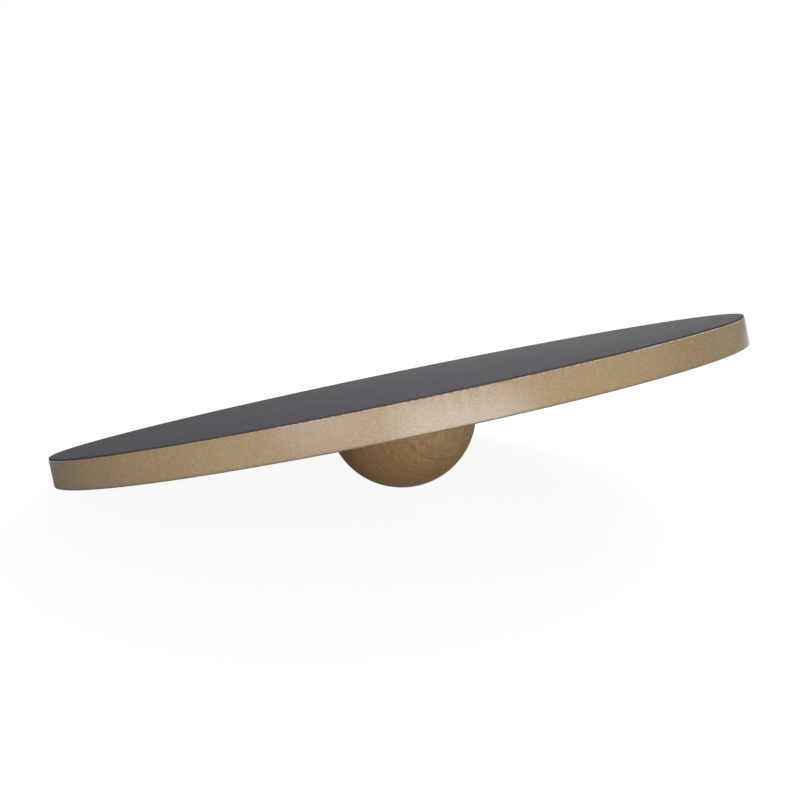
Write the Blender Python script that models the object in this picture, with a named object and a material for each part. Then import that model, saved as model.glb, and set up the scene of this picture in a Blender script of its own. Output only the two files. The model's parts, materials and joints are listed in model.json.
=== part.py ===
"""Wobble board: a round fibreboard deck with an anti-slip cover, on a turned wooden half ball.

Sizes are in metres. Every piece is built in the board's own frame, whose origin is the centre of
the deck's underside and whose Z axis runs up through the deck. The empty named board_frame then
leans the whole board into the pose in which it lies on the floor, on the ball and on its rim.
"""

import math

import bmesh
import bpy

# Deck: a disc of medium density fibreboard.
DECK_DIAMETER = 0.400
DECK_THICKNESS = 0.0152
DECK_LOWER_ROUND = 0.0012
DECK_UPPER_ROUND = 0.0004

# Cover: a thin anti-slip sheet, glued to the deck and trimmed just inside its rim.
COVER_THICKNESS = 0.0008
COVER_SETBACK = 0.0002
COVER_ARRIS = 0.0002

# Half ball: turned from solid wood, with a short straight land under the deck.
BALL_RADIUS = 0.0438
BALL_LAND = 0.0025
BALL_ARRIS = 0.0005

# Countersunk wood screws, driven from above and hidden by the cover.
SCREW_COUNT = 4
SCREW_CIRCLE_RADIUS = 0.024
SCREW_LENGTH = 0.035
SCREW_SHANK_LENGTH = 0.0175
SCREW_SHANK_RADIUS = 0.00225
SCREW_CORE_RADIUS = 0.0016
SCREW_HEAD_RADIUS = 0.0044
SCREW_HEAD_LAND = 0.0004
SCREW_POINT_LENGTH = 0.006
SCREW_HEAD_SINK = 0.0004
RECESS_WIDTH = 0.0011
RECESS_RADIUS = 0.0024
RECESS_DEPTH = 0.0019
RECESS_FLOOR_SHARE = 0.6

# Fluted dowel that centres the ball on the deck.
DOWEL_RADIUS = 0.005
DOWEL_LENGTH = 0.026
DOWEL_FLUTES = 12
DOWEL_FLUTE_DEPTH = 0.0004
DOWEL_CHAMFER = 0.001
DOWEL_DEPTH_IN_DECK = 0.0105

# Fits.
GLUE_LINE = 0.0002
SCREW_CLEARANCE = 0.0003
DOWEL_CLEARANCE = 0.0003
HOLE_END_CLEARANCE = 0.0006
HOLE_OVERRUN = 0.0005

# Fineness of the round shapes, in facets round a full turn. The tip of the ball has fewer, and the
# rings of facets there are as wide as BALL_BAND, measured from the centre of the ball.
DECK_FACETS = 144
BALL_FACETS = 72
BALL_TIP_FACETS = 24
BALL_RINGS = 7
BALL_BAND = math.radians(9)
SMALL_FACETS = 24
ROUND_STEPS = 4
SHARP_ANGLE = math.radians(35)
SAME_POINT = 1e-7

# Worked out from the sizes above.
DECK_RADIUS = DECK_DIAMETER / 2
COVER_BASE = DECK_THICKNESS + GLUE_LINE
BOARD_TOP = COVER_BASE + COVER_THICKNESS
BALL_TOP = -GLUE_LINE
BALL_CENTRE = BALL_TOP - BALL_LAND
BALL_REACH = BALL_RADIUS * math.cos(BALL_BAND / 2)
SCREW_TOP = DECK_THICKNESS - SCREW_HEAD_SINK
DOWEL_BOTTOM = DOWEL_DEPTH_IN_DECK - DOWEL_LENGTH


def resting_lean():
    """The lean at which a level floor touches both the ball and the rounded lower rim of the deck."""
    run = DECK_RADIUS - DECK_LOWER_ROUND
    drop = DECK_LOWER_ROUND - BALL_CENTRE
    line_of_centres = math.atan2(drop, run)
    return line_of_centres + math.asin((BALL_REACH - DECK_LOWER_ROUND) / math.hypot(run, drop))


def clear_scene():
    """Removes whatever the scene holds."""
    for thing in list(bpy.data.objects):
        bpy.data.objects.remove(thing)


def finish_material(name, colour, roughness, metallic=0.0):
    """A Principled material of one colour."""
    material = bpy.data.materials.new(name)
    material.use_nodes = True
    shader = material.node_tree.nodes["Principled BSDF"]
    shader.inputs["Base Color"].default_value = (*colour, 1.0)
    shader.inputs["Roughness"].default_value = roughness
    shader.inputs["Metallic"].default_value = metallic
    material.diffuse_color = (*colour, 1.0)
    return material


def arc(centre_radius, centre_height, radius, start, end, steps):
    """Outline points on an arc; angles are in degrees from straight out, up is 90."""
    points = []
    for step in range(steps + 1):
        angle = math.radians(start + (end - start) * step / steps)
        points.append(
            (centre_radius + radius * math.cos(angle), centre_height + radius * math.sin(angle))
        )
    return points


def mesh_object(name, shape, parent, material=None):
    """Turns a bmesh into an object of the board, shaded smooth with sharp edges kept."""
    bmesh.ops.recalc_face_normals(shape, faces=shape.faces)
    mesh = bpy.data.meshes.new(name)
    shape.to_mesh(mesh)
    shape.free()
    mesh.shade_smooth()
    mesh.set_sharp_from_angle(angle=SHARP_ANGLE)
    if material:
        mesh.materials.append(material)
    made = bpy.data.objects.new(name, mesh)
    bpy.context.scene.collection.objects.link(made)
    made.parent = parent
    return made


def spin_outline(shape, outline, facets):
    """Spins an outline of (radius, height) round the Z axis and returns the edges at its open ends.

    A facet, and not an edge, faces -X, where the board touches the floor.
    """
    half_facet = math.pi / facets
    across, along = math.cos(half_facet), math.sin(half_facet)
    rim = [shape.verts.new((radius * across, radius * along, height)) for radius, height in outline]
    edges = [shape.edges.new(pair) for pair in zip(rim, rim[1:])]
    bmesh.ops.spin(
        shape,
        geom=rim + edges,
        cent=(0, 0, 0),
        axis=(0, 0, 1),
        angle=2 * math.pi,
        steps=facets,
        use_merge=True,
    )
    bmesh.ops.remove_doubles(shape, verts=shape.verts, dist=SAME_POINT)
    return [edge for edge in shape.edges if edge.is_boundary]


def turned(outline, facets):
    """A bmesh spun round the Z axis from an outline of (radius, height), with its open ends capped."""
    shape = bmesh.new()
    bmesh.ops.holes_fill(shape, edges=spin_outline(shape, outline, facets))
    return shape


def cut_with(target, cutter):
    """Cuts a hidden helper out of a piece."""
    cutter.hide_render = True
    cutter.display_type = "WIRE"
    cut = target.modifiers.new(cutter.name, "BOOLEAN")
    cut.operation = "DIFFERENCE"
    cut.solver = "EXACT"
    cut.object = cutter


def screw_places():
    """(x, y) of each screw on its circle, clear of the line between ball and rim contact."""
    for index in range(SCREW_COUNT):
        angle = 2 * math.pi * (index + 0.5) / SCREW_COUNT
        yield SCREW_CIRCLE_RADIUS * math.cos(angle), SCREW_CIRCLE_RADIUS * math.sin(angle)


def screw_outline(spread=0.0, rise=0.0):
    """Outline of a screw's head, plain shank and thread core, down to where its point begins.

    For the outline of its hole, spread is the clearance all round and rise lifts its mouth.
    """
    cone_top = -SCREW_HEAD_LAND - spread
    cone_bottom = cone_top - (SCREW_HEAD_RADIUS - SCREW_SHANK_RADIUS)
    step_top = -SCREW_SHANK_LENGTH - spread
    step_bottom = step_top - (SCREW_SHANK_RADIUS - SCREW_CORE_RADIUS)
    return [
        (SCREW_HEAD_RADIUS + spread, rise),
        (SCREW_HEAD_RADIUS + spread, cone_top),
        (SCREW_SHANK_RADIUS + spread, cone_bottom),
        (SCREW_SHANK_RADIUS + spread, step_top),
        (SCREW_CORE_RADIUS + spread, step_bottom),
        (SCREW_CORE_RADIUS + spread, -SCREW_LENGTH + SCREW_POINT_LENGTH),
    ]


def build_deck(parent, material):
    """The fibreboard disc, with both rims eased."""
    outline = arc(
        DECK_RADIUS - DECK_LOWER_ROUND, DECK_LOWER_ROUND, DECK_LOWER_ROUND, -90, 0, ROUND_STEPS
    )
    outline += arc(
        DECK_RADIUS - DECK_UPPER_ROUND,
        DECK_THICKNESS - DECK_UPPER_ROUND,
        DECK_UPPER_ROUND,
        0,
        90,
        ROUND_STEPS,
    )
    return mesh_object("deck_board", turned(outline, DECK_FACETS), parent, material)


def build_cover(parent, material):
    """The anti-slip sheet on top of the deck, with a small arris where it was trimmed."""
    radius = DECK_RADIUS - COVER_SETBACK
    outline = [
        (radius, COVER_BASE),
        (radius, BOARD_TOP - COVER_ARRIS),
        (radius - COVER_ARRIS, BOARD_TOP),
    ]
    return mesh_object("anti_slip_cover", turned(outline, DECK_FACETS), parent, material)


def build_ball(parent, material):
    """The half ball that the board rocks on: flat top, straight land, then a sphere.

    Its tip has fewer facets round a turn, so that they stay about as large as the rest, and one
    ring of them is centred on the lean at which the board rests.
    """
    lean = math.degrees(resting_lean())
    band = math.degrees(BALL_BAND)
    tip_edge = lean + 1.5 * band
    upper = [(BALL_RADIUS - BALL_ARRIS, BALL_TOP), (BALL_RADIUS, BALL_TOP - BALL_ARRIS)]
    upper += arc(0, BALL_CENTRE, BALL_RADIUS, 0, tip_edge - 90, BALL_RINGS)
    tip = arc(0, BALL_CENTRE, BALL_RADIUS, lean + band / 2 - 90, lean - band / 2 - 90, 1)
    tip.append((0.0, BALL_CENTRE - BALL_RADIUS))
    shape = bmesh.new()
    upper_ends = spin_outline(shape, upper, BALL_FACETS)
    top_edges = [edge for edge in upper_ends if edge.verts[0].co.z > BALL_CENTRE]
    bmesh.ops.holes_fill(shape, edges=top_edges)
    bmesh.ops.bridge_loops(shape, edges=spin_outline(shape, tip, BALL_TIP_FACETS))
    return mesh_object("rocker_half_ball", shape, parent, material)


def build_screw(index, place, parent, material):
    """One wood screw: countersunk head with a driver's recess, plain shank, thread core and point."""
    outline = screw_outline() + [(0.0, -SCREW_LENGTH)]
    screw = mesh_object(f"ball_screw_{index + 1}", turned(outline, SMALL_FACETS), parent, material)
    screw.location = (*place, SCREW_TOP)
    recess = build_recess(index, parent)
    recess.location = screw.location
    cut_with(screw, recess)


def build_recess(index, parent):
    """Helper in the shape of the tapered cross recess in a screw's head."""
    half = RECESS_WIDTH / 2
    corners = []
    for quarter in range(4):
        turn = quarter * math.pi / 2
        for out, side in ((RECESS_RADIUS, -half), (RECESS_RADIUS, half), (half, half)):
            across = out * math.cos(turn) - side * math.sin(turn)
            along = out * math.sin(turn) + side * math.cos(turn)
            corners.append((across, along))
    shape = bmesh.new()
    mouth = shape.faces.new([shape.verts.new((x, y, SCREW_HEAD_SINK)) for x, y in corners])
    floor = bmesh.ops.extrude_face_region(shape, geom=[mouth])
    for vert in (element for element in floor["geom"] if isinstance(element, bmesh.types.BMVert)):
        vert.co = (vert.co.x * RECESS_FLOOR_SHARE, vert.co.y * RECESS_FLOOR_SHARE, -RECESS_DEPTH)
    return mesh_object(f"screw_recess_cutter_{index + 1}", shape, parent)


def build_screw_hole(index, place, parent):
    """Helper in the outline of a screw's hole: countersink, clearance hole and pilot hole."""
    outline = screw_outline(SCREW_CLEARANCE, SCREW_HEAD_SINK + HOLE_OVERRUN)
    outline.append((0.0, -SCREW_LENGTH - HOLE_END_CLEARANCE))
    hole = mesh_object(f"screw_hole_cutter_{index + 1}", turned(outline, SMALL_FACETS), parent)
    hole.location = (*place, SCREW_TOP)
    return hole


def build_dowel(parent, material):
    """The fluted dowel between deck and ball, chamfered at both ends."""
    ring = []
    for step in range(2 * DOWEL_FLUTES):
        angle = math.pi * step / DOWEL_FLUTES
        radius = DOWEL_RADIUS - DOWEL_FLUTE_DEPTH * (step % 2)
        ring.append((radius * math.cos(angle), radius * math.sin(angle)))
    end_share = 1 - DOWEL_CHAMFER / DOWEL_RADIUS
    levels = (
        (DOWEL_BOTTOM, end_share),
        (DOWEL_BOTTOM + DOWEL_CHAMFER, 1.0),
        (DOWEL_DEPTH_IN_DECK - DOWEL_CHAMFER, 1.0),
        (DOWEL_DEPTH_IN_DECK, end_share),
    )
    shape = bmesh.new()
    loops = []
    for height, share in levels:
        verts = [shape.verts.new((x * share, y * share, height)) for x, y in ring]
        loops.append([shape.edges.new(pair) for pair in zip(verts, verts[1:] + verts[:1])])
    for lower, upper in zip(loops, loops[1:]):
        bmesh.ops.bridge_loops(shape, edges=lower + upper)
    bmesh.ops.holes_fill(shape, edges=loops[0] + loops[-1])
    return mesh_object("centring_dowel", shape, parent, material)


def build_dowel_hole(parent):
    """Helper in the outline of the dowel's hole, cut from both deck and ball."""
    radius = DOWEL_RADIUS + DOWEL_CLEARANCE
    top = DOWEL_DEPTH_IN_DECK + HOLE_END_CLEARANCE
    bottom = DOWEL_BOTTOM - HOLE_END_CLEARANCE
    hole = turned([(radius, top), (radius, bottom)], SMALL_FACETS)
    return mesh_object("dowel_hole_cutter", hole, parent)


def board_frame():
    """The empty that leans the board until it lies on its ball and its rim.

    The origin is the point of the floor under the middle of the board.
    """
    lean = resting_lean()
    frame = bpy.data.objects.new("board_frame", None)
    bpy.context.scene.collection.objects.link(frame)
    frame.rotation_euler = (0, -lean, 0)
    height = BALL_REACH - BALL_CENTRE * math.cos(lean)
    frame.location = (BOARD_TOP / 2 * math.sin(lean), 0, height)
    return frame


def build_board():
    """Builds every piece of the board."""
    clear_scene()
    frame = board_frame()
    fibreboard = finish_material("fibreboard", (0.45, 0.31, 0.16), 0.45)
    sheet = finish_material("anti_slip_sheet", (0.10, 0.095, 0.10), 0.7)
    turned_wood = finish_material("turned_wood", (0.42, 0.27, 0.12), 0.5)
    beech = finish_material("beech", (0.62, 0.43, 0.26), 0.6)
    zinc = finish_material("zinc_plated_steel", (0.60, 0.58, 0.50), 0.35, 1.0)

    deck = build_deck(frame, fibreboard)
    build_cover(frame, sheet)
    ball = build_ball(frame, turned_wood)
    for index, place in enumerate(screw_places()):
        hole = build_screw_hole(index, place, frame)
        cut_with(deck, hole)
        cut_with(ball, hole)
        build_screw(index, place, frame, zinc)
    build_dowel(frame, beech)
    dowel_hole = build_dowel_hole(frame)
    cut_with(deck, dowel_hole)
    cut_with(ball, dowel_hole)


build_board()
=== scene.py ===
"""Looks of the wobble board: finishes, fine meshes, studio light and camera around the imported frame.

The board lies as a board at rest does, on its half ball and on its rim. Everything round is shaped in
the board's own frame: its Z axis is the deck's axis, upwards, and its origin lies on the axis at the
level of the deck's underside. All lengths are in metres.
"""

import json
import logging
import math
from dataclasses import dataclass
from enum import Enum
from typing import Any, Callable, Sequence

import bmesh
import bpy
import numpy as np
from mathutils import Matrix, Vector

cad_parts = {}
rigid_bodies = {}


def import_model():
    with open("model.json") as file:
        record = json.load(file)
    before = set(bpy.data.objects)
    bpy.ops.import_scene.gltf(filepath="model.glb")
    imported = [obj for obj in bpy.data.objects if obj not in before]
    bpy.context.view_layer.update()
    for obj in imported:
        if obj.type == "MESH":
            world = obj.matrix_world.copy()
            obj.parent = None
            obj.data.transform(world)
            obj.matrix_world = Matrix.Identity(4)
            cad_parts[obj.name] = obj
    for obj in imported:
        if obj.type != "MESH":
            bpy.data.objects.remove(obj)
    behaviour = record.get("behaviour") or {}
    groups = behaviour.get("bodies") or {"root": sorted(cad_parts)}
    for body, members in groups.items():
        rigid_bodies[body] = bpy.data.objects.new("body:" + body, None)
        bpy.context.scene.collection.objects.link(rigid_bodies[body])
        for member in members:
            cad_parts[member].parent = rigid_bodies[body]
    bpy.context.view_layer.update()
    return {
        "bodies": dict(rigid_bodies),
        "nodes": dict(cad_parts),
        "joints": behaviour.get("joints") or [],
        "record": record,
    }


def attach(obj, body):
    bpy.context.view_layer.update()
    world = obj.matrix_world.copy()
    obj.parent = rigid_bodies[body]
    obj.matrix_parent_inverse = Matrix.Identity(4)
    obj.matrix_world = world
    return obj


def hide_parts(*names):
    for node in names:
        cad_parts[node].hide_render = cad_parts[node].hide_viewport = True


LOG = logging.getLogger("wobble_board")

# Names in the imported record
BODY = "root"
STANDING_MOUNT = "standing_face"
DECK_NODE = "deck_board"
COVER_NODE = "anti_slip_cover"
BALL_NODE = "rocker_half_ball"
DOWEL_NODE = "centring_dowel"
SCREW_NODES = "ball_screw"

# Meshes: a flat cap is one polygon inside a narrow band, which keeps the shading of its edge even
SHARP_ANGLE = math.radians(40)
SAME_POINT = 1e-7
CAP_BAND = 0.0012
DOWEL_RADIUS = 0.005

# A rough rim is a sum of waves, the slowest with this many times fewer bumps than the quickest
ROUGH_WAVES = 14
ROUGH_RANGE = 6

# Sockets of the Mix node by number, because several share a name
MIX_SHARE, MIX_FIRST, MIX_SECOND, MIX_RESULT = 0, 6, 7, 2

Colour = tuple[float, float, float]
Span = tuple[float, float]
Outline = list[tuple[float, float]]
Shift = Callable[[np.ndarray, float], np.ndarray]
Socket = bpy.types.NodeSocket

WHITE = (1.0, 1.0, 1.0, 1.0)
WHOLE: Span = (0.0, 1.0)
MOST_OF_NOISE: Span = (0.3, 0.7)


class Slot(Enum):
    """The material slots of the record, one for each finish."""

    FIBREBOARD = "fibreboard"
    ANTI_SLIP_SHEET = "anti_slip_sheet"
    TURNED_WOOD = "turned_wood"
    ZINC_PLATED_STEEL = "zinc_plated_steel"
    BEECH = "beech"


@dataclass(frozen=True)
class Pattern:
    """A noise in a finish: features per metre, octaves, their roughness, and a scale along the axis.

    A scale along the axis below 1 draws the noise out into upright fibres.
    """

    scale: float
    detail: float = 2.0
    roughness: float = 0.5
    upright: float = 1.0


@dataclass(frozen=True)
class Tint:
    """A colour that a pattern lays over a finish.

    While the pattern goes through the span, the colour's share goes from the first value to the second.
    """

    colour: Colour
    span: Span
    share: Span = WHOLE


class NodeBench:
    """A small bench for wiring the nodes of one material or of the world."""

    def __init__(
        self, owner: bpy.types.Material | bpy.types.World, board: Matrix = Matrix.Identity(4)
    ) -> None:
        """Clears the owner's nodes and adds its output.

        Args:
            owner: the material or the world.
            board: where the board's own frame lies in the row frame.
        """
        owner.use_nodes = True
        self.owner = owner
        self.board = board
        self.tree = owner.node_tree
        self.tree.nodes.clear()
        kind = "World" if isinstance(owner, bpy.types.World) else "Material"
        self.output = self.add(f"ShaderNodeOutput{kind}")

    def add(self, kind: str, inputs: dict[Any, Any] | None = None, **settings: Any) -> bpy.types.Node:
        """Adds a node.

        Args:
            kind: the node's Blender type.
            inputs: socket name or number, to a value or to another node's output socket.
            settings: attributes of the node itself.

        Returns:
            The new node.
        """
        node = self.tree.nodes.new(kind)
        for key, value in settings.items():
            setattr(node, key, value)
        for key, value in (inputs or {}).items():
            if isinstance(value, Socket):
                self.tree.links.new(value, node.inputs[key])
            else:
                node.inputs[key].default_value = value
        return node

    def maths(self, operation: str, *values: Any) -> Socket:
        """Adds a Math node and returns its result."""
        return self.add("ShaderNodeMath", dict(enumerate(values)), operation=operation).outputs[0]

    def place(self) -> Socket:
        """Adds the position in the board's own frame.

        Returns:
            The position, in metres.
        """
        inputs = {
            "Vector": self.add("ShaderNodeTexCoord").outputs["Object"],
            "Location": self.board.to_translation(),
            "Rotation": self.board.to_euler(),
        }
        return self.add("ShaderNodeMapping", inputs, vector_type="TEXTURE").outputs["Vector"]

    def uprightness(self) -> Socket:
        """Measures how squarely the surface faces along the board's axis.

        Returns:
            0 where it faces outwards, up to 1 where it faces up or down.
        """
        inputs = {
            0: self.add("ShaderNodeTexCoord").outputs["Normal"],
            1: self.board.to_3x3().col[2],
        }
        along = self.add("ShaderNodeVectorMath", inputs, operation="DOT_PRODUCT").outputs["Value"]
        return self.maths("ABSOLUTE", along)

    def seen(self) -> Socket:
        """Tells where a surface shows to the camera, also in a mirror or through glass.

        Returns:
            1 where it shows, and 0 where it only lights other things.
        """
        path = self.add("ShaderNodeLightPath")
        shown = self.maths("MAXIMUM", path.outputs["Is Camera Ray"], path.outputs["Is Glossy Ray"])
        return self.maths("MAXIMUM", shown, path.outputs["Is Transmission Ray"])

    def part(self, place: Socket, axis: str) -> Socket:
        """Returns a position's part along an axis."""
        return self.add("ShaderNodeSeparateXYZ", {0: place}).outputs[axis]

    def scaled_upright(self, place: Socket, scale: float) -> Socket:
        """Returns a position scaled along the board's axis only."""
        inputs = {"Vector": place, "Scale": (1.0, 1.0, scale)}
        return self.add("ShaderNodeMapping", inputs).outputs["Vector"]

    def noise(self, place: Socket, pattern: Pattern) -> Socket:
        """Adds a noise.

        Args:
            place: the position that it is read at.
            pattern: what it is like.

        Returns:
            The noise, from 0 to 1.
        """
        if pattern.upright != 1.0:
            place = self.scaled_upright(place, pattern.upright)
        inputs = {
            "Vector": place,
            "Scale": pattern.scale,
            "Detail": pattern.detail,
            "Roughness": pattern.roughness,
        }
        return self.add("ShaderNodeTexNoise", inputs).outputs["Fac"]

    def ramp(self, value: Socket, span: Span, onto: Span = WHOLE) -> Socket:
        """Maps a value smoothly from one span onto another.

        Args:
            value: the value.
            span: where the change starts and ends.
            onto: what comes out there, and beyond it too.

        Returns:
            The mapped value.
        """
        inputs = {"Value": value, 1: span[0], 2: span[1], 3: onto[0], 4: onto[1]}
        made = self.add("ShaderNodeMapRange", inputs, interpolation_type="SMOOTHSTEP")
        return made.outputs["Result"]

    def hump(self, value: Socket, rise: Span, fall: Span) -> Socket:
        """Returns 1 between a rise and a fall, and 0 outside them."""
        return self.maths("MULTIPLY", self.ramp(value, rise), self.ramp(value, fall, (1.0, 0.0)))

    def mix(self, share: Any, first: Any, second: Any) -> Socket:
        """Mixes two colours.

        Args:
            share: how much of the second colour, from 0 to 1.
            first: a colour or a socket.
            second: a colour or a socket.

        Returns:
            The mixed colour.
        """
        inputs = {MIX_SHARE: share, MIX_FIRST: first, MIX_SECOND: second}
        for key in (MIX_FIRST, MIX_SECOND):
            if isinstance(inputs[key], tuple):
                inputs[key] = (*inputs[key], 1.0)
        return self.add("ShaderNodeMix", inputs, data_type="RGBA").outputs[MIX_RESULT]

    def tint(self, tone: Any, pattern: Socket, tint: Tint) -> Socket:
        """Lays a tint over a tone where a pattern says so, and returns the new tone."""
        return self.mix(self.ramp(pattern, tint.span, tint.share), tone, tint.colour)

    def bump(self, height: Socket, relief: tuple[float, float]) -> Socket:
        """Returns a normal bumped by a height; relief is how much of it shows, and the metres of 1."""
        inputs = {"Height": height, "Strength": relief[0], "Distance": relief[1]}
        return self.add("ShaderNodeBump", inputs).outputs["Normal"]

    def surface(self, shader: bpy.types.Node) -> bpy.types.Material | bpy.types.World:
        """Links a shader to the output and returns the owner."""
        self.tree.links.new(shader.outputs[0], self.output.inputs["Surface"])
        return self.owner

    def principled(self, inputs: dict[str, Any]) -> bpy.types.Material:
        """Ends the material with a Principled shader that has these inputs, and returns it."""
        return self.surface(self.add("ShaderNodeBsdfPrincipled", inputs))

    def matt(self, colour: Colour) -> bpy.types.Node:
        """Adds a plain matt shader and returns it."""
        return self.add("ShaderNodeBsdfDiffuse", {"Color": (*colour, 1.0)})

    def mix_shaders(
        self, share: Socket, first: bpy.types.Node, second: bpy.types.Node
    ) -> bpy.types.Node:
        """Adds a shader that goes from the first to the second one, and returns it."""
        return self.add("ShaderNodeMixShader", {0: share, 1: first.outputs[0], 2: second.outputs[0]})


@dataclass(frozen=True)
class LacqueredFibreboard:
    """Medium density fibreboard under a clear satin lacquer, with a finely speckled sawn edge.

    Its pressed skins are denser and darker. The lower corner gets a painted shade, and on one side the
    upper corner is pale, partly from wear and partly a painted highlight.
    """

    edge: Colour = (0.475, 0.325, 0.134)
    dense: Colour = (0.36, 0.24, 0.115)
    # Pale tone of the upper corner: partly wear and chips, partly a painted highlight.
    worn: Colour = (0.64, 0.56, 0.43)
    face: Colour = (0.42, 0.285, 0.155)
    specks: Pattern = Pattern(1300.0, 2.0, 0.6)
    fibres: Pattern = Pattern(650.0, 3.0, 0.6, upright=2.0)
    patches: Pattern = Pattern(210.0)
    clouds: Pattern = Pattern(26.0)
    crumbs: Pattern = Pattern(700.0, 3.0, 0.6)
    felt: Pattern = Pattern(420.0, 4.0, 0.7)
    rosy_patches: Tint = Tint((0.47, 0.312, 0.162), (0.36, 0.64))
    dense_clouds: Tint = Tint(dense, (0.35, 0.65), (0.0, 0.22))
    dark_specks: Tint = Tint((0.33, 0.215, 0.105), (0.34, 0.52), (0.42, 0.0))
    pale_fibres: Tint = Tint((0.58, 0.43, 0.27), (0.5, 0.7), (0.0, 0.42))
    # Painted shade: the lowest millimetre of the rim is darkened where the eased corner turns away from
    # the light.
    painted_shade_lower_corner: Tint = Tint((0.17, 0.12, 0.075), (0.0, 0.0011), (0.9, 0.0))
    face_fibres: Tint = Tint((0.50, 0.365, 0.22), (0.45, 0.7), (0.0, 0.6))
    face_clouds: Tint = Tint(edge, (0.35, 0.7), (0.0, 0.25))
    dense_depth: float = 0.0022
    dense_below: float = 0.9
    dense_above: float = 0.3
    pale_rim_depths: Span = (0.0009, 0.0003)
    pale_rim_crumbs: Span = (0.46, 0.58)
    pale_rim_side: Span = (0.035, 0.075)
    pale_rim_side_share: Span = (0.12, 1.0)
    facing: Span = (0.72, 0.96)
    fibre_relief: float = 0.7
    relief: tuple[float, float] = (0.3, 0.00015)
    roughness: Span = (0.17, 0.31)
    face_dulling: float = 0.4
    specular: float = 0.38
    face_specular: float = 0.08

    def material(self, board: Matrix, top: float) -> bpy.types.Material:
        """Makes the material.

        Args:
            board: where the board's own frame lies.
            top: the level of the deck's upper face.

        Returns:
            The material.
        """
        bench = NodeBench(bpy.data.materials.new("lacquered_fibreboard"), board)
        place = bench.place()
        level = bench.part(place, "Z")
        specks = bench.noise(place, self.specks)
        fibres = bench.noise(place, self.fibres)
        clouds = bench.noise(place, self.clouds)
        tone = bench.tint(self.edge, bench.noise(place, self.patches), self.rosy_patches)
        tone = bench.tint(tone, clouds, self.dense_clouds)
        tone = bench.tint(tone, specks, self.dark_specks)
        tone = bench.tint(tone, fibres, self.pale_fibres)
        below = bench.ramp(level, (0.0, self.dense_depth), (self.dense_below, 0.0))
        above = bench.ramp(level, (top - self.dense_depth, top), (0.0, self.dense_above))
        tone = bench.mix(bench.maths("MAXIMUM", below, above), tone, self.dense)
        # Painted shade along the lower corner of the rim.
        tone = bench.tint(tone, level, self.painted_shade_lower_corner)
        # Pale upper corner on one side of the board: partly wear and chips, partly a painted highlight
        # along the eased corner.
        corner = bench.ramp(level, (top - self.pale_rim_depths[0], top - self.pale_rim_depths[1]))
        crumbs = bench.ramp(bench.noise(place, self.crumbs), self.pale_rim_crumbs)
        pale_rim_side = bench.ramp(bench.part(place, "X"), self.pale_rim_side, self.pale_rim_side_share)
        worn = bench.maths("MULTIPLY", bench.maths("MULTIPLY", corner, crumbs), pale_rim_side)
        tone = bench.mix(worn, tone, self.worn)
        face = bench.tint(self.face, bench.noise(place, self.felt), self.face_fibres)
        face = bench.tint(face, clouds, self.face_clouds)
        flat = bench.ramp(bench.uprightness(), self.facing)
        height = bench.maths("MULTIPLY_ADD", fibres, self.fibre_relief, specks)
        gloss = bench.ramp(fibres, MOST_OF_NOISE, self.roughness)
        return bench.principled(
            {
                "Base Color": bench.mix(flat, tone, face),
                "Roughness": bench.maths("MULTIPLY_ADD", flat, self.face_dulling, gloss),
                "Specular IOR Level": bench.ramp(flat, WHOLE, (self.specular, self.face_specular)),
                "Normal": bench.bump(height, self.relief),
            }
        )


@dataclass(frozen=True)
class AntiSlipSheet:
    """A thin dark grey sheet whose face has a very fine square weave, and whose cut edge is brown."""

    ground: Colour = (0.103, 0.098, 0.106)
    thread: Colour = (0.165, 0.158, 0.168)
    worn: Colour = (0.20, 0.193, 0.2)
    cut: Colour = (0.105, 0.085, 0.078)
    pitch: float = 0.0011
    drift: Pattern = Pattern(60.0)
    drift_share: float = 0.35
    clouds: Pattern = Pattern(16.0, 3.0)
    mottle: Pattern = Pattern(480.0, 3.0, 0.7)
    dust: Pattern = Pattern(900.0, 2.0, 0.7)
    knot_span: Span = (-0.6, 0.8)
    knot_share: float = 0.7
    pale_clouds: Tint = Tint(thread, (0.36, 0.66), (0.0, 0.16))
    pale_mottle: Tint = Tint(worn, (0.42, 0.62), (0.0, 0.5))
    pale_dust: Tint = Tint(worn, (0.52, 0.74), (0.0, 0.6))
    facing: Span = (0.35, 0.8)
    relief: tuple[float, float] = (0.35, 0.00006)
    roughness: Span = (0.75, 0.85)
    specular: float = 0.018

    def material(self, board: Matrix) -> bpy.types.Material:
        """Makes the material.

        Args:
            board: where the board's own frame lies.

        Returns:
            The material.
        """
        bench = NodeBench(bpy.data.materials.new("anti_slip_sheet"), board)
        place = bench.place()
        drift = bench.maths("MULTIPLY", bench.noise(place, self.drift), self.pitch * self.drift_share)
        clouds = bench.noise(place, self.clouds)
        waves = []
        for axis in "XY":
            across = bench.maths("ADD", drift, bench.part(place, axis))
            waves.append(bench.maths("SINE", bench.maths("MULTIPLY", across, 2 * math.pi / self.pitch)))
        knots = bench.ramp(bench.maths("MULTIPLY", *waves), self.knot_span)
        tone = bench.mix(bench.maths("MULTIPLY", knots, self.knot_share), self.ground, self.thread)
        tone = bench.tint(tone, clouds, self.pale_clouds)
        tone = bench.tint(tone, bench.noise(place, self.mottle), self.pale_mottle)
        tone = bench.tint(tone, bench.noise(place, self.dust), self.pale_dust)
        return bench.principled(
            {
                "Base Color": bench.mix(bench.ramp(bench.uprightness(), self.facing), self.cut, tone),
                "Roughness": bench.ramp(clouds, MOST_OF_NOISE, self.roughness),
                "Specular IOR Level": self.specular,
                "Normal": bench.bump(knots, self.relief),
            }
        )


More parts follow.
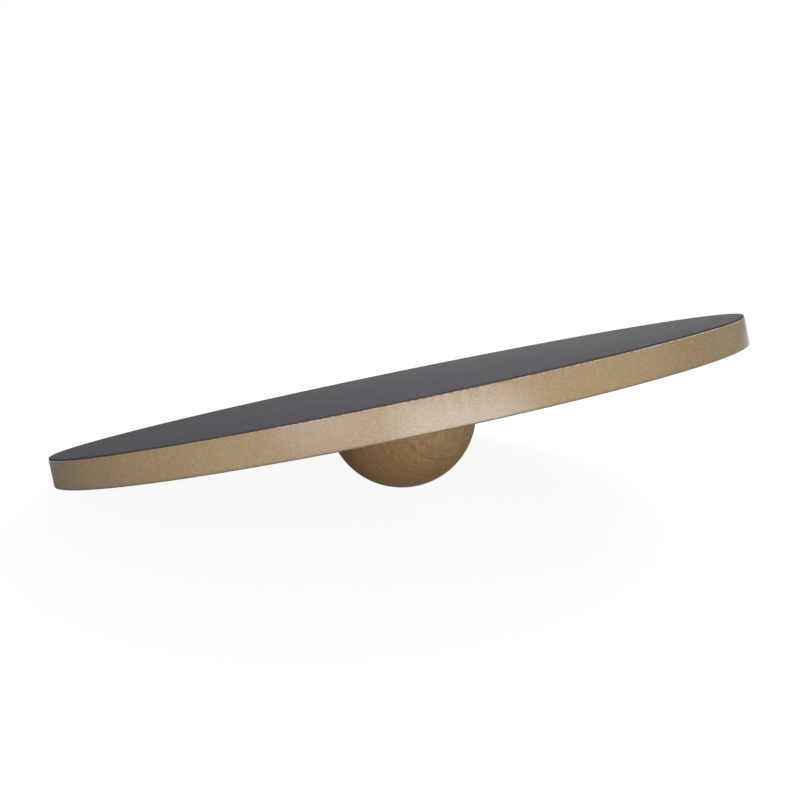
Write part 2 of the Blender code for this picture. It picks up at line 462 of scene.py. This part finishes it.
@dataclass(frozen=True)
class TurnedSoftwood:
    """Pine turned on a lathe: fibres upright, and growth rings that lie flat to the skin on one side.

    The rings go round a pith outside the half ball. Each has a dark late line and a pale early one.
    Away from the pith the wood turns to paler sapwood, which also paints light on that side and shade
    on the other.
    """

    # Sapwood and heartwood tones: real wood colour, also set apart to paint light on one side of the
    # half ball and shade on the other.
    sapwood_lit_side: Colour = (0.55, 0.38, 0.18)
    heartwood_shaded_side: Colour = (0.435, 0.25, 0.1)
    late: Colour = (0.325, 0.19, 0.072)
    pale: Colour = (0.45, 0.31, 0.155)
    sapwood_lit_depth: float = 0.018
    pith_azimuth: float = math.radians(167.6)
    pith_distance: float = 0.11
    pith_lean: float = 0.05
    ring_width: float = 0.0035
    first_ring: float = 0.0042
    slow: Pattern = Pattern(30.0, upright=0.3)
    quick: Pattern = Pattern(240.0, upright=0.12)
    slow_wander: float = 0.005
    quick_wander: float = 0.0012
    late_rise: Span = (0.0, 0.12)
    late_fall: Span = (0.12, 0.5)
    late_mean: float = 0.38
    late_swing: float = 0.32
    strong_every: float = 3.0
    early_rise: Span = (0.6, 0.9)
    early_fall: Span = (0.94, 1.0)
    early_share: float = 0.25
    fine_pitch: float = 0.00125
    patches: Pattern = Pattern(55.0, upright=0.5)
    stripes: Pattern = Pattern(420.0, 2.0, 0.6, upright=0.15)
    streaks: Pattern = Pattern(850.0, 2.0, 0.6, upright=0.1)
    fine_lines: Tint = Tint(late, (0.1, 1.0), (0.0, 0.1))
    dark_patches: Tint = Tint(late, (0.35, 0.65), (0.0, 0.22))
    dark_stripes: Tint = Tint(late, (0.44, 0.6), (0.0, 0.36))
    dark_streaks: Tint = Tint((0.25, 0.142, 0.055), (0.52, 0.7), (0.0, 0.5))
    relief: tuple[float, float] = (0.12, 0.00015)
    roughness: Span = (0.56, 0.68)
    specular: float = 0.06

    def depth(self, bench: NodeBench, place: Socket, radius: float) -> Socket:
        """Wires how deep in the trunk a position lies, which wanders a little as real rings do.

        Args:
            bench: the bench of the material.
            place: the position in the board's own frame.
            radius: the half ball's radius.

        Returns:
            The depth, which is 0 where the first ring starts.
        """
        slow = bench.noise(place, self.slow)
        quick = bench.noise(place, self.quick)
        pith = (
            self.pith_distance * math.cos(self.pith_azimuth),
            self.pith_distance * math.sin(self.pith_azimuth),
            0.0,
        )
        inputs = {0: bench.scaled_upright(place, self.pith_lean), 1: pith}
        from_pith = bench.add("ShaderNodeVectorMath", inputs, operation="DISTANCE").outputs["Value"]
        quick = bench.maths("MULTIPLY", quick, self.quick_wander)
        wander = bench.maths("MULTIPLY_ADD", slow, self.slow_wander, quick)
        skin = self.pith_distance + radius - self.first_ring - self.slow_wander / 2
        return bench.maths("SUBTRACT", bench.maths("ADD", skin, wander), from_pith)

    def material(self, board: Matrix, radius: float) -> bpy.types.Material:
        """Makes the material.

        Args:
            board: where the board's own frame lies.
            radius: the half ball's radius.

        Returns:
            The material.
        """
        bench = NodeBench(bpy.data.materials.new("turned_softwood"), board)
        place = bench.place()
        depth = self.depth(bench, place, radius)
        turn = bench.maths("DIVIDE", depth, self.ring_width)
        ring = bench.maths("FRACT", turn)
        beat = bench.maths("MULTIPLY", bench.maths("ADD", turn, 1.0), 2 * math.pi / self.strong_every)
        beat = bench.maths("COSINE", beat)
        strength = bench.maths("MULTIPLY_ADD", beat, self.late_swing, self.late_mean)
        late = bench.hump(ring, self.late_rise, self.late_fall)
        early = bench.hump(ring, self.early_rise, self.early_fall)
        fine = bench.maths("SINE", bench.maths("MULTIPLY", depth, 2 * math.pi / self.fine_pitch))
        streaks = bench.noise(place, self.streaks)
        # Paler away from the pith, darker towards it: partly real sapwood, partly painted light and
        # shade across the half ball.
        deeper = bench.ramp(depth, (-self.first_ring, self.sapwood_lit_depth))
        tone = bench.mix(deeper, self.sapwood_lit_side, self.heartwood_shaded_side)
        tone = bench.mix(bench.maths("MULTIPLY", late, strength), tone, self.late)
        tone = bench.mix(bench.maths("MULTIPLY", early, self.early_share), tone, self.pale)
        tone = bench.tint(tone, fine, self.fine_lines)
        tone = bench.tint(tone, bench.noise(place, self.patches), self.dark_patches)
        tone = bench.tint(tone, bench.noise(place, self.stripes), self.dark_stripes)
        tone = bench.tint(tone, streaks, self.dark_streaks)
        return bench.principled(
            {
                "Base Color": tone,
                "Roughness": bench.ramp(streaks, MOST_OF_NOISE, self.roughness),
                "Specular IOR Level": self.specular,
                "Normal": bench.bump(streaks, self.relief),
            }
        )


@dataclass(frozen=True)
class ZincPlating:
    """Yellowish zinc plating on a steel screw, a little cloudy."""

    clear: Colour = (0.66, 0.60, 0.43)
    cloudy: Colour = (0.52, 0.48, 0.38)
    clouds: Pattern = Pattern(600.0, 3.0)
    hues: Pattern = Pattern(180.0)
    rosy_hues: Tint = Tint((0.62, 0.50, 0.42), (0.45, 0.65), (0.0, 0.5))
    roughness: Span = (0.25, 0.45)

    def material(self, board: Matrix) -> bpy.types.Material:
        """Makes the material.

        Args:
            board: where the board's own frame lies.

        Returns:
            The material.
        """
        bench = NodeBench(bpy.data.materials.new("zinc_plating"), board)
        place = bench.place()
        clouds = bench.noise(place, self.clouds)
        tone = bench.mix(clouds, self.clear, self.cloudy)
        return bench.principled(
            {
                "Base Color": bench.tint(tone, bench.noise(place, self.hues), self.rosy_hues),
                "Metallic": 1.0,
                "Roughness": bench.ramp(clouds, MOST_OF_NOISE, self.roughness),
            }
        )


@dataclass(frozen=True)
class RawBeech:
    """Raw beech with its short dark flecks, along an upright dowel."""

    ground: Colour = (0.6, 0.41, 0.25)
    flecks: Pattern = Pattern(1800.0, upright=0.12)
    dark_flecks: Tint = Tint((0.42, 0.25, 0.13), (0.55, 0.7))
    relief: tuple[float, float] = (0.2, 0.0002)
    roughness: float = 0.7

    def material(self, board: Matrix) -> bpy.types.Material:
        """Makes the material.

        Args:
            board: where the board's own frame lies.

        Returns:
            The material.
        """
        bench = NodeBench(bpy.data.materials.new("raw_beech"), board)
        flecks = bench.noise(bench.place(), self.flecks)
        return bench.principled(
            {
                "Base Color": bench.tint(self.ground, flecks, self.dark_flecks),
                "Roughness": self.roughness,
                "Normal": bench.bump(flecks, self.relief),
            }
        )


class BoardFrame:
    """Where the board's own frame lies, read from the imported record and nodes."""

    def __init__(self, frame: dict[str, Any]) -> None:
        """Reads the frame.
        """
        standing = next(m for m in frame["record"]["mounts"] if m["name"] == STANDING_MOUNT)
        up = Vector(standing["axis"]).normalized()
        along = Vector((0.0, 1.0, 0.0)).cross(up).normalized()
        turn = Matrix((along, up.cross(along), up)).transposed().to_4x4()
        self.nodes = frame["nodes"]
        self.matrix = Matrix.Translation(Vector(standing["pos_m"])) @ turn
        underside = self.measure(DECK_NODE)[1]
        self.matrix = self.matrix @ Matrix.Translation((0.0, 0.0, underside))

    def points(self, node: str) -> np.ndarray:
        """Reads the points of a CAD node.

        Args:
            node: the node's name.

        Returns:
            The points in the board's own frame, one in each row.
        """
        mesh = self.nodes[node].data
        flat = np.empty(len(mesh.vertices) * 3, np.float32)
        mesh.vertices.foreach_get("co", flat)
        there = np.c_[flat.reshape(-1, 3), np.ones(len(mesh.vertices))]
        return (there @ np.array(self.matrix.inverted()).T)[:, :3]

    def measure(self, node: str) -> tuple[float, float, float]:
        """Measures a CAD node round the board's axis.

        Args:
            node: the node's name.

        Returns:
            Its largest radius, its lowest and its highest level.
        """
        points = self.points(node)
        radius = float(np.hypot(points[:, 0], points[:, 1]).max())
        return radius, float(points[:, 2].min()), float(points[:, 2].max())

    def head(self, node: str) -> Vector:
        """Finds the top of a CAD screw.

        Args:
            node: the screw's name.

        Returns:
            The middle of its top, in the board's own frame.
        """
        points = self.points(node)
        middle = (points.min(axis=0) + points.max(axis=0)) / 2
        return Vector((float(middle[0]), float(middle[1]), float(points[:, 2].max())))

    def screws(self) -> list[str]:
        """Returns the names of the CAD screws in order."""
        return sorted(name for name in self.nodes if name.startswith(SCREW_NODES))


def arc(centre: tuple[float, float], reach: tuple[float, float], turn: Span, steps: int) -> Outline:
    """Makes points of an arc in an outline.

    Args:
        centre: radius and level of the arc's centre.
        reach: the arc's radius, outwards and along the axis.
        turn: where it starts and ends, in degrees from straight out, up being 90.
        steps: how many straight steps it has.

    Returns:
        The points, as radius and level.
    """
    start, end = turn
    angles = (math.radians(start + (end - start) * step / steps) for step in range(steps + 1))
    return [(centre[0] + reach[0] * math.cos(a), centre[1] + reach[1] * math.sin(a)) for a in angles]


def turned(outline: Outline, facets: int, shift: Shift | None = None) -> bmesh.types.BMesh:
    """Turns an outline round the Z axis into a closed shape.

    Args:
        outline: radius and level of each ring, from one end to the other.
        facets: facets round a full turn.
        shift: gives how much further out a ring lies at each angle, from the angles and the level.

    Returns:
        The shape, with a flat cap at each end that isn't a point.
    """
    angles = np.linspace(0.0, 2 * math.pi, facets, endpoint=False)
    shape = bmesh.new()
    rings = []
    for radius, level in outline:
        reach = np.full(facets, radius)
        if shift is not None and radius > 0:
            reach = reach + shift(angles, level)
        rings.append(
            [shape.verts.new((r * math.cos(a), r * math.sin(a), level)) for r, a in zip(reach, angles)]
        )
    for lower, upper in zip(rings, rings[1:]):
        for here in range(facets):
            after = (here + 1) % facets
            shape.faces.new((lower[here], lower[after], upper[after], upper[here]))
    for ring, (radius, _) in ((rings[0], outline[0]), (rings[-1], outline[-1])):
        if radius > 0:
            shape.faces.new(ring)
    bmesh.ops.remove_doubles(shape, verts=shape.verts, dist=SAME_POINT)
    bmesh.ops.recalc_face_normals(shape, faces=shape.faces)
    return shape


def link(name: str, data: bpy.types.ID) -> bpy.types.Object:
    """Makes an object and links it to the scene.

    Args:
        name: the object's name.
        data: its mesh, lamp or camera.

    Returns:
        The object.
    """
    made = bpy.data.objects.new(name, data)
    bpy.context.scene.collection.objects.link(made)
    return made


def rectangle(name: str, width: float, height: float) -> bpy.types.Object:
    """Makes a flat rectangle that faces up, with its middle at the origin.

    Args:
        name: the object's name.
        width: its size along X.
        height: its size along Y.

    Returns:
        The rectangle.
    """
    x, y = width / 2, height / 2
    mesh = bpy.data.meshes.new(name)
    mesh.from_pydata([(-x, -y, 0.0), (x, -y, 0.0), (x, y, 0.0), (-x, y, 0.0)], [], [(0, 1, 2, 3)])
    return link(name, mesh)


def piece(
    name: str, shape: bmesh.types.BMesh, board: BoardFrame, at: Sequence[float] = (0, 0, 0)
) -> bpy.types.Object:
    """Turns a shape into an object at its place on the board.

    Args:
        name: the object's name.
        shape: the shape in the board's own frame, which is freed.
        board: where that frame lies.
        at: how far the shape is moved first, in that frame.

    Returns:
        The object, whose mesh lies in the row frame.
    """
    shape.transform(board.matrix @ Matrix.Translation(at))
    mesh = bpy.data.meshes.new(name)
    shape.to_mesh(mesh)
    shape.free()
    return link(name, mesh)


def drill(made: bpy.types.Object, cutters: Sequence[bpy.types.Object]) -> None:
    """Cuts other shapes out of a piece for good.

    Args:
        made: the piece.
        cutters: the shapes, which stay as they are.
    """
    for cutter in cutters:
        cut = made.modifiers.new(cutter.name, "BOOLEAN")
        cut.operation, cut.solver, cut.object = "DIFFERENCE", "EXACT", cutter
    seen = made.evaluated_get(bpy.context.evaluated_depsgraph_get())
    whole = made.data
    made.data = bpy.data.meshes.new_from_object(seen)
    made.modifiers.clear()
    bpy.data.meshes.remove(whole)


def finish(
    made: bpy.types.Object, nodes: Sequence[str], material: bpy.types.Material
) -> bpy.types.Object:
    """Smooths and dresses a piece and puts it in place of its CAD nodes.

    Args:
        made: the piece.
        nodes: the CAD nodes that it stands for.
        material: the finish.

    Returns:
        The piece.
    """
    made.data.shade_smooth()
    made.data.set_sharp_from_angle(angle=SHARP_ANGLE)
    made.data.materials.clear()
    made.data.materials.append(material)
    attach(made, BODY)
    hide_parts(*nodes)
    return made


def roughen(amount: float, waves: int, seed: int) -> Shift:
    """Makes an uneven inward shift of a rim.

    Args:
        amount: how far in it goes at most.
        waves: about how many bumps the quickest wave has round the rim.
        seed: which pattern it is.

    Returns:
        The shift.
    """
    random = np.random.default_rng(seed)
    counts = random.integers(waves // ROUGH_RANGE, waves, ROUGH_WAVES)
    phases = random.uniform(0.0, 2 * math.pi, ROUGH_WAVES)

    def shift(angles: np.ndarray, level: float) -> np.ndarray:
        """Returns the shift at each angle."""
        swell = np.sin(counts[:, None] * angles[None, :] + phases[:, None]).sum(axis=0)
        return -amount * np.clip(0.5 + swell / ROUGH_WAVES, 0.0, 1.0)

    return shift


@dataclass(frozen=True)
class ScrewSize:
    """The sizes of a countersunk screw that its hole has too."""

    head_radius: float = 0.0044
    head_land: float = 0.0004
    shank_radius: float = 0.00225
    core_radius: float = 0.0016
    shank_length: float = 0.0175
    length: float = 0.035
    point: float = 0.006

    def flare(self) -> float:
        """Returns how far the head stands out of the shank, which is also its cone's height."""
        return self.head_radius - self.shank_radius

    def thread_depth(self) -> float:
        """Returns how far the shank and the thread stand out of the core."""
        return self.shank_radius - self.core_radius


@dataclass
class HoleSet:
    """The cutting shapes for the screw holes and the dowel hole, with their clearances."""

    board: BoardFrame
    size: ScrewSize = ScrewSize()
    clearance: float = 0.0003
    end_clearance: float = 0.0006
    overrun: float = 0.0009
    dowel_radius: float = DOWEL_RADIUS
    facets: int = 48

    def outline(self) -> Outline:
        """Draws the outline of a screw hole.

        Returns:
            The outline, from above the screw's head downwards.
        """
        size, play = self.size, self.clearance
        cone_top = -size.head_land - play
        step_top = -size.shank_length - play
        return [
            (size.head_radius + play, self.overrun),
            (size.head_radius + play, cone_top),
            (size.shank_radius + play, cone_top - size.flare()),
            (size.shank_radius + play, step_top),
            (size.core_radius + play, step_top - size.thread_depth()),
            (size.core_radius + play, -size.length + size.point),
            (0.0, -size.length - self.end_clearance),
        ]

    def cutters(self) -> list[bpy.types.Object]:
        """Builds the cutting shapes.

        Returns:
            One for each screw and one for the dowel.
        """
        made = []
        for name in self.board.screws():
            shape = turned(self.outline(), self.facets)
            made.append(piece(f"{name}_hole", shape, self.board, self.board.head(name)))
        _, bottom, top = self.board.measure(DOWEL_NODE)
        radius = self.dowel_radius + self.clearance
        hole = [(radius, bottom - self.end_clearance), (radius, top + self.end_clearance)]
        made.append(piece("dowel_hole", turned(hole, self.facets), self.board))
        return made


@dataclass
class Deck:
    """The fibreboard disc, with both rims eased by hand.

    A ring near each corner keeps the tall side flat, so that a highlight covers its whole height.
    """

    board: BoardFrame
    lower_reach: tuple[float, float] = (0.0016, 0.0005)
    upper_round: float = 0.0004
    flat_from: float = 0.0003
    facet_allowance: float = 0.0002
    unevenness: float = 0.00018
    uneven_from: float = 1.5
    bumps: int = 900
    seed: int = 7
    facets: int = 1440
    steps: int = 5
    look: LacqueredFibreboard = LacqueredFibreboard()

    def build(self, cutters: Sequence[bpy.types.Object]) -> bpy.types.Object:
        """Builds the disc in place of its CAD node.

        Args:
            cutters: the shapes of the holes in it.

        Returns:
            The disc.
        """
        radius, bottom, top = self.board.measure(DECK_NODE)
        radius -= self.facet_allowance
        (inward, low), high = self.lower_reach, self.upper_round
        outline = [(radius - inward - CAP_BAND, bottom)]
        outline += arc((radius - inward, bottom + low), (inward, low), (-90, 0), self.steps)
        outline += [(radius, bottom + low + self.flat_from), (radius, top - high - self.flat_from)]
        outline += arc((radius - high, top - high), (high, high), (0, 90), self.steps)
        outline += [(radius - high - CAP_BAND, top)]
        rough = roughen(self.unevenness, self.bumps, self.seed)

        def shift(angles: np.ndarray, level: float) -> np.ndarray:
            """Lets only the upper corner be uneven."""
            share = min(max((level - (top - self.uneven_from * high)) / high, 0.0), 1.0)
            return rough(angles, level) * share

        made = piece("deck", turned(outline, self.facets, shift), self.board)
        drill(made, cutters)
        material = self.look.material(self.board.matrix, top)
        return finish(made, [DECK_NODE], material)


@dataclass
class Cover:
    """The anti-slip sheet glued on top of the deck, trimmed by hand and so a little uneven."""

    board: BoardFrame
    arris: float = 0.0003
    facet_allowance: float = 0.0002
    unevenness: float = 0.00022
    bumps: int = 700
    seed: int = 11
    facets: int = 1440
    look: AntiSlipSheet = AntiSlipSheet()

    def build(self) -> bpy.types.Object:
        """Builds the sheet in place of its CAD node.

        Returns:
            The sheet.
        """
        radius, bottom, top = self.board.measure(COVER_NODE)
        radius -= self.facet_allowance
        outline = [
            (radius - CAP_BAND, bottom),
            (radius, bottom),
            (radius, (bottom + top) / 2),
            (radius, top - self.arris),
            (radius - self.arris, top),
            (radius - self.arris - CAP_BAND, top),
        ]
        rough = roughen(self.unevenness, self.bumps, self.seed)
        made = piece("cover", turned(outline, self.facets, rough), self.board)
        material = self.look.material(self.board.matrix)
        return finish(made, [COVER_NODE], material)


@dataclass
class HalfBall:
    """The turned half ball under the deck."""

    board: BoardFrame
    arris: float = 0.0005
    land: float = 0.0025
    floor_gap: float = 0.00002
    facets: int = 192
    rings: int = 64
    look: TurnedSoftwood = TurnedSoftwood()

    def depth(self, radius: float, centre: float) -> float:
        """Works out how deep the half ball is when it just touches the floor.

        Args:
            radius: its radius.
            centre: the level of its centre.

        Returns:
            The depth below its centre.
        """
        height = (self.board.matrix @ Vector((0.0, 0.0, centre))).z - self.floor_gap
        upright = self.board.matrix.col[2].z
        return math.sqrt(height**2 - radius**2 * (1 - upright**2)) / upright

    def build(self, cutters: Sequence[bpy.types.Object]) -> bpy.types.Object:
        """Builds the half ball in place of its CAD node.

        Args:
            cutters: the shapes of the holes in it.

        Returns:
            The half ball.
        """
        radius, _, top = self.board.measure(BALL_NODE)
        centre = top - self.land
        depth = self.depth(radius, centre)
        outline = arc((0.0, centre), (radius, depth), (-90, 0), self.rings)
        outline[0] = (0.0, centre - depth)
        outline += [
            (radius, top - self.arris),
            (radius - self.arris, top),
            (radius - self.arris - CAP_BAND, top),
        ]
        made = piece("half_ball", turned(outline, self.facets), self.board)
        drill(made, cutters)
        material = self.look.material(self.board.matrix, radius)
        return finish(made, [BALL_NODE], material)


@dataclass
class Screws:
    """The countersunk wood screws, with their threads and cross recesses."""

    board: BoardFrame
    size: ScrewSize = ScrewSize()
    head_arris: float = 0.0002
    pitch: float = 0.0018
    rows_per_turn: int = 10
    ridge_share: float = 0.28
    runout: float = 0.7
    tip_share: float = 0.08
    recess_width: float = 0.0011
    recess_radius: float = 0.0024
    recess_depth: float = 0.0019
    recess_floor: float = 0.6
    recess_overrun: float = 0.0004
    facets: int = 40
    look: ZincPlating = ZincPlating()

    def thread_top(self) -> float:
        """Returns the level below the shank at which the core and its thread start."""
        return -self.size.shank_length - self.size.thread_depth()

    def outline(self) -> Outline:
        """Draws the outline of a screw without its thread.

        Returns:
            The outline, from the top of its head downwards.
        """
        size, step = self.size, self.thread_top()
        outline = [
            (size.head_radius - self.head_arris, 0.0),
            (size.head_radius, -self.head_arris),
            (size.head_radius, -size.head_land),
            (size.shank_radius, -size.head_land - size.flare()),
            (size.shank_radius, -size.shank_length),
            (size.core_radius, step),
        ]
        rows = int((size.length + step) / self.pitch * self.rows_per_turn)
        for row in range(1, rows):
            level = step - (size.length + step) * row / rows
            taper = min((size.length + level) / size.point, 1.0)
            outline.append((size.core_radius * (self.tip_share + (1 - self.tip_share) * taper), level))
        return outline + [(0.0, -size.length)]

    def thread(self, angles: np.ndarray, level: float) -> np.ndarray:
        """Shapes the thread, which starts and ends gently.

        Args:
            angles: the angles round the screw.
            level: the level below the top of its head.

        Returns:
            How far the thread stands out of the core at each angle.
        """
        run_in = (self.thread_top() - level) / self.pitch
        run_out = (self.size.length + level) / (self.runout * self.size.point)
        fade = min(run_in, run_out, 1.0)
        if fade <= 0:
            return np.zeros_like(angles)
        turn = (level / self.pitch + angles / (2 * math.pi)) % 1.0
        ridge = np.clip(1 - np.abs(turn - 0.5) / self.ridge_share, 0.0, 1.0)
        return self.size.thread_depth() * fade * ridge

    def recess(self) -> bmesh.types.BMesh:
        """Makes the cutting shape of a tapered cross recess.

        Returns:
            The shape, with its mouth just above the screw's head.
        """
        half = self.recess_width / 2
        corners = []
        for quarter in range(4):
            turn = quarter * math.pi / 2
            for out, side in ((self.recess_radius, -half), (self.recess_radius, half), (half, half)):
                across = out * math.cos(turn) - side * math.sin(turn)
                corners.append((across, out * math.sin(turn) + side * math.cos(turn)))
        shape = bmesh.new()
        levels = ((self.recess_overrun, 1.0), (-self.recess_depth, self.recess_floor))
        mouth, floor = (
            [shape.verts.new((x * share, y * share, level)) for x, y in corners]
            for level, share in levels
        )
        count = len(corners)
        for here in range(count):
            after = (here + 1) % count
            shape.faces.new((mouth[here], mouth[after], floor[after], floor[here]))
        shape.faces.new(mouth)
        shape.faces.new(floor)
        bmesh.ops.recalc_face_normals(shape, faces=shape.faces)
        return shape

    def build(self) -> list[bpy.types.Object]:
        """Builds the screws in place of their CAD nodes.

        Returns:
            The screws in order.
        """
        material = self.look.material(self.board.matrix)
        made = []
        for index, name in enumerate(self.board.screws(), 1):
            at = self.board.head(name)
            shape = turned(self.outline(), self.facets, self.thread)
            screw = piece(f"screw_{index}", shape, self.board, at)
            cutter = piece(f"screw_recess_{index}", self.recess(), self.board, at)
            drill(screw, [cutter])
            bpy.data.objects.remove(cutter)
            made.append(finish(screw, [name], material))
        return made


@dataclass
class Dowel:
    """The fluted dowel that centres the half ball on the deck."""

    board: BoardFrame
    radius: float = DOWEL_RADIUS
    chamfer: float = 0.001
    flutes: int = 12
    flute_depth: float = 0.0004
    flute_curve: float = 0.7
    facets: int = 144
    look: RawBeech = RawBeech()

    def groove(self, angles: np.ndarray, level: float) -> np.ndarray:
        """Returns how far in the flutes lie at each angle."""
        return -self.flute_depth * (0.5 - 0.5 * np.cos(self.flutes * angles)) ** self.flute_curve

    def build(self) -> bpy.types.Object:
        """Builds the dowel in place of its CAD node.

        Returns:
            The dowel.
        """
        _, bottom, top = self.board.measure(DOWEL_NODE)
        outline = [
            (self.radius - self.chamfer, bottom),
            (self.radius, bottom + self.chamfer),
            (self.radius, top - self.chamfer),
            (self.radius - self.chamfer, top),
        ]
        made = piece("dowel", turned(outline, self.facets, self.groove), self.board)
        material = self.look.material(self.board.matrix)
        return finish(made, [DOWEL_NODE], material)


@dataclass(frozen=True)
class Stand:
    """Where something stands round the board, and how far off; azimuth 0 is -Y and 90 is +X."""

    azimuth: float
    elevation: float
    distance: float

    def hold(self, made: bpy.types.Object, target: Vector) -> None:
        """Puts a lamp or camera there and turns it to the board.

        Args:
            made: the lamp or camera.
            target: the point that it faces.
        """
        a, e = math.radians(self.azimuth), math.radians(self.elevation)
        back = Vector((math.sin(a) * math.cos(e), -math.cos(a) * math.cos(e), math.sin(e)))
        made.location = target + back * self.distance
        made.rotation_euler = (-back).to_track_quat("-Z", "Y").to_euler()


@dataclass(frozen=True)
class Softbox:
    """A studio lamp with a plain rectangular front that faces the board."""

    name: str
    stand: Stand
    width: float
    height: float
    watts: float
    colour: Colour = (1.0, 1.0, 1.0)

    def light(self, target: Vector) -> bpy.types.Object:
        """Hangs the lamp.

        Args:
            target: the point it faces.

        Returns:
            The lamp.
        """
        lamp = bpy.data.lights.new(self.name, "AREA")
        lamp.shape = "RECTANGLE"
        lamp.size, lamp.size_y = self.width, self.height
        lamp.energy = self.watts
        lamp.color = self.colour
        made = link(self.name, lamp)
        self.stand.hold(made, target)
        return made


@dataclass(frozen=True)
class DarkCard:
    """A dark card with soft edges, out of the picture, that only shows in the rim's reflections."""

    name: str
    middle: tuple[float, float, float]
    width: float
    height: float
    lean: float = 90.0
    turn: float = 0.0
    shade: float = 0.02
    soft_from: float = 0.55

    def place(self) -> bpy.types.Object:
        """Places the card.

        Returns:
            The card.
        """
        card = rectangle(self.name, self.width, self.height)
        card.location = self.middle
        card.rotation_euler = (math.radians(self.lean), 0.0, math.radians(self.turn))
        bench = NodeBench(bpy.data.materials.new(self.name))
        spot = bench.place()
        off_middle = []
        for axis, size in (("X", self.width), ("Y", self.height)):
            off = bench.maths("ABSOLUTE", bench.part(spot, axis))
            off_middle.append(bench.maths("DIVIDE", off, size / 2))
        share = bench.ramp(bench.maths("MAXIMUM", *off_middle), (self.soft_from, 1.0))
        clear = bench.add("ShaderNodeBsdfTransparent")
        mixed = bench.mix_shaders(share, bench.matt((self.shade,) * 3), clear)
        card.data.materials.append(bench.surface(mixed))
        card.visible_camera = card.visible_diffuse = card.visible_shadow = False
        return card


@dataclass
class Studio:
    """The pale floor, the light and the camera."""

    camera_stand: Stand = Stand(azimuth=30.14, elevation=10.08, distance=0.6641)
    camera_lens: float = 50.62
    aim: tuple[float, float, float] = (0.0010, 0.0006, 0.0515)
    floor_size: float = 40.0
    floor_colour: Colour = (0.22, 0.22, 0.22)
    floor_glow: float = 0.92
    plain: Span = (0.35, 0.9)
    world_light: float = 0.14
    boxes: tuple[Softbox, ...] = (
        Softbox("key_box", Stand(47.0, 6.0, 1.8), 1.25, 0.45, watts=16.0, colour=(0.94, 0.99, 1.12)),
        Softbox("left_box", Stand(8.0, 15.0, 1.8), 0.8, 1.0, watts=8.5, colour=(0.95, 0.98, 1.3)),
        Softbox("back_box", Stand(178.0, 40.0, 1.75), 1.1, 0.75, watts=18.2),
        Softbox("rear_box", Stand(-160.0, 8.0, 1.8), 1.2, 0.45, watts=5.0),
    )
    cards: tuple[DarkCard, ...] = (
        DarkCard(
            "dark_card_low", (-0.62, -0.62, 0.001), 1.3, 1.3, lean=0.0, shade=0.25, soft_from=0.75
        ),
        DarkCard("dark_card_left", (-1.25, 0.4, 0.5), 2.4, 1.0, turn=-105.0),
        DarkCard("dark_card_right", (0.72, 1.17, 0.3), 2.3, 0.7, turn=149.0, shade=0.6, soft_from=0.7),
    )

    def lay_floor(self) -> bpy.types.Object:
        """Lays the floor, which shows the shadow near the board and is plain white further off.

        Returns:
            The floor.
        """
        floor = rectangle("floor", self.floor_size, self.floor_size)
        bench = NodeBench(bpy.data.materials.new("pale_floor"))
        seen = bench.seen()
        glow_strength = bench.maths("MULTIPLY", seen, self.floor_glow)
        off = bench.add("ShaderNodeVectorMath", {0: bench.place()}, operation="LENGTH").outputs["Value"]
        share = bench.maths("MULTIPLY", bench.ramp(off, self.plain), seen)
        glow = bench.add("ShaderNodeEmission", {"Strength": glow_strength})
        matt = bench.matt(self.floor_colour)
        near = bench.add("ShaderNodeAddShader", {0: glow.outputs[0], 1: matt.outputs[0]})
        far = bench.add("ShaderNodeEmission", {"Strength": 1.0})
        floor.data.materials.append(bench.surface(bench.mix_shaders(share, near, far)))
        return floor

    def light(self) -> None:
        """Sets the plain world, hangs the lamps and places the cards."""
        world = bpy.data.worlds.new("studio")
        bpy.context.scene.world = world
        bench = NodeBench(world)
        strength = bench.ramp(bench.seen(), WHOLE, (self.world_light, 1.0))
        bench.surface(bench.add("ShaderNodeBackground", {"Color": WHITE, "Strength": strength}))
        for box in self.boxes:
            box.light(Vector(self.aim))
        for card in self.cards:
            card.place()

    def aim_camera(self) -> bpy.types.Object:
        """Sets the camera where the photograph was taken from.

        Returns:
            The camera.
        """
        data = bpy.data.cameras.new("camera")
        data.lens = self.camera_lens
        camera = link("camera", data)
        self.camera_stand.hold(camera, Vector(self.aim))
        bpy.context.scene.camera = camera
        return camera


def main() -> None:
    logging.basicConfig(level=logging.INFO, format="%(name)s: %(message)s")
    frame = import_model()
    board = BoardFrame(frame)
    cutters = HoleSet(board).cutters()
    pieces = [Deck(board).build(cutters), Cover(board).build(), HalfBall(board).build(cutters)]
    pieces += Screws(board).build()
    pieces.append(Dowel(board).build())
    for cutter in cutters:
        bpy.data.objects.remove(cutter)
    for made in pieces:
        LOG.info("built %s with %d faces", made.name, len(made.data.polygons))
    studio = Studio()
    studio.lay_floor()
    studio.light()
    studio.aim_camera()
    bpy.context.scene.view_settings.view_transform = "Standard"
    LOG.info("wrote the sizes")


if __name__ == "__main__":
    main()
